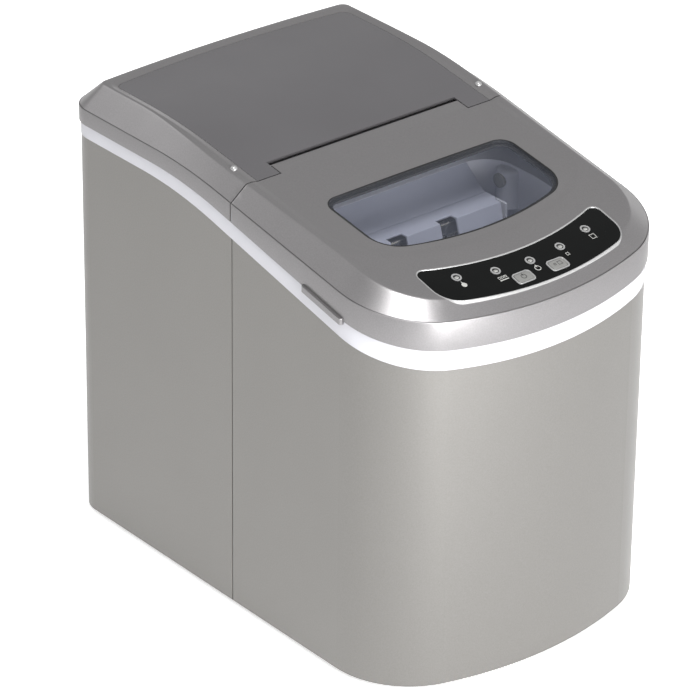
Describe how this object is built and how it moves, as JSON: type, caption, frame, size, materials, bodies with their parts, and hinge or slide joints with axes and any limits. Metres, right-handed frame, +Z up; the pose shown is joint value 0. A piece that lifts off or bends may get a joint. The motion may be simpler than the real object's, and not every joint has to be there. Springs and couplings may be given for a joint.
{
  "type": "countertop ice maker",
  "caption": "Countertop ice maker: a bowed silver cabinet with a hinged lid, lid window, control panel, lift-out basket and a working ice head inside.",
  "frame": {"origin": "middle of the footprint, on the surface that the feet stand on", "axes": "+Z up, -Y towards the control panel at the front, +X to the right seen from the front"},
  "size_m": [0.2448, 0.3564, 0.3207],
  "materials": {
    "silver_steel": "satin",
    "silver_lid": "satin",
    "dark_grey_plate": "gloss",
    "white_trim": "gloss",
    "black_fascia": "gloss",
    "grey_plastic": "satin",
    "clear_plastic": "clear",
    "tub_plastic": "satin",
    "basket_plastic": "satin",
    "soft_black": "matte",
    "base_plastic": "matte",
    "zinc_steel": "satin",
    "nickel": "bright",
    "black_enamel": "gloss",
    "aluminium_fin": "satin",
    "copper": "bright",
    "board_green": "satin",
    "lamp_clear": "clear",
    "silicone": "matte",
    "foam": "matte"
  },
  "bodies": {
    "cabinet": {"base_pan": "base_plastic", "feet": "soft_black", "front_panel": "silver_steel", "rear_housing": "silver_steel", "housing_screws": "nickel", "cord_gland": "soft_black", "trim_band": "white_trim", "rear_top_cover": "silver_lid", "rear_top_plate": "dark_grey_plate", "hinge_pins": "nickel", "lid_rest_bumpers": "soft_black", "inner_tub": "tub_plastic", "tub_insulation": "foam", "head_frame": "tub_plastic", "evaporator": "nickel", "head_cover": "tub_plastic", "tray_motor": "grey_plastic", "sensor_housings": "tub_plastic", "sensor_lenses": "lamp_clear", "water_pump": "grey_plastic", "water_hose": "silicone", "drain_pipe": "grey_plastic", "compressor_mounts": "soft_black", "compressor": "black_enamel", "condenser": "aluminium_fin", "fan_shroud": "base_plastic", "fan_motor": "black_enamel", "filter_drier": "copper", "hot_gas_valve": "zinc_steel", "bulkhead": "zinc_steel", "copper_pipes": "copper", "electrics_box": "base_plastic", "main_board": "board_green"},
    "lid": {"lid_shell": "silver_lid", "lid_grips": "silver_lid", "window_gasket": "soft_black", "lid_window": "clear_plastic", "control_bezel": "grey_plastic", "control_fascia": "black_fascia", "lamp_rings": "grey_plastic", "lamp_lenses": "lamp_clear", "key_frames": "grey_plastic", "control_board": "board_green", "control_shield": "tub_plastic"},
    "power_key": {"power_key": "grey_plastic"},
    "select_key": {"select_key": "grey_plastic"},
    "basket": {"ice_basket": "basket_plastic"},
    "tray": {"water_tray": "tub_plastic"},
    "shovel": {"ice_shovel": "tub_plastic"},
    "fan": {"fan_blade": "base_plastic"},
    "plug": {"drain_plug": "soft_black"}
  },
  "joints": [
    {"name": "lid_hinge", "type": "hinge", "parent": "cabinet", "child": "lid", "pos_m": [0, 0.0099, 0.30432], "axis": [-1, 0, 0], "range_deg": [0, 90]},
    {"name": "power_press", "type": "slide", "parent": "lid", "child": "power_key", "axis": [0, 0.2785, -0.9604], "range_m": [0, 0.001], "stiffness_N_per_m": 400},
    {"name": "select_press", "type": "slide", "parent": "lid", "child": "select_key", "axis": [0, 0.2785, -0.9604], "range_m": [0, 0.001], "stiffness_N_per_m": 400},
    {"name": "basket_lift", "type": "slide", "parent": "cabinet", "child": "basket", "axis": [0, 0, 1], "range_m": [0, 0.03]},
    {"name": "tray_tilt", "type": "hinge", "parent": "cabinet", "child": "tray", "pos_m": [0, -0.026, 0.222], "axis": [1, 0, 0], "range_deg": [0, 60]},
    {"name": "shovel_push", "type": "slide", "parent": "cabinet", "child": "shovel", "axis": [0, -1, 0], "range_m": [0, 0.007]},
    {"name": "fan_spin", "type": "hinge", "parent": "cabinet", "child": "fan", "pos_m": [0.056, 0.149, 0.084], "axis": [0, 1, 0], "continuous": true},
    {"name": "plug_pull", "type": "slide", "parent": "cabinet", "child": "plug", "axis": [1, 0, 0], "range_m": [0, 0.013]}
  ],
  "couplings": [
    {"joint": "shovel_push", "follows": "tray_tilt", "m_per_rad": 0.0066}
  ]
}
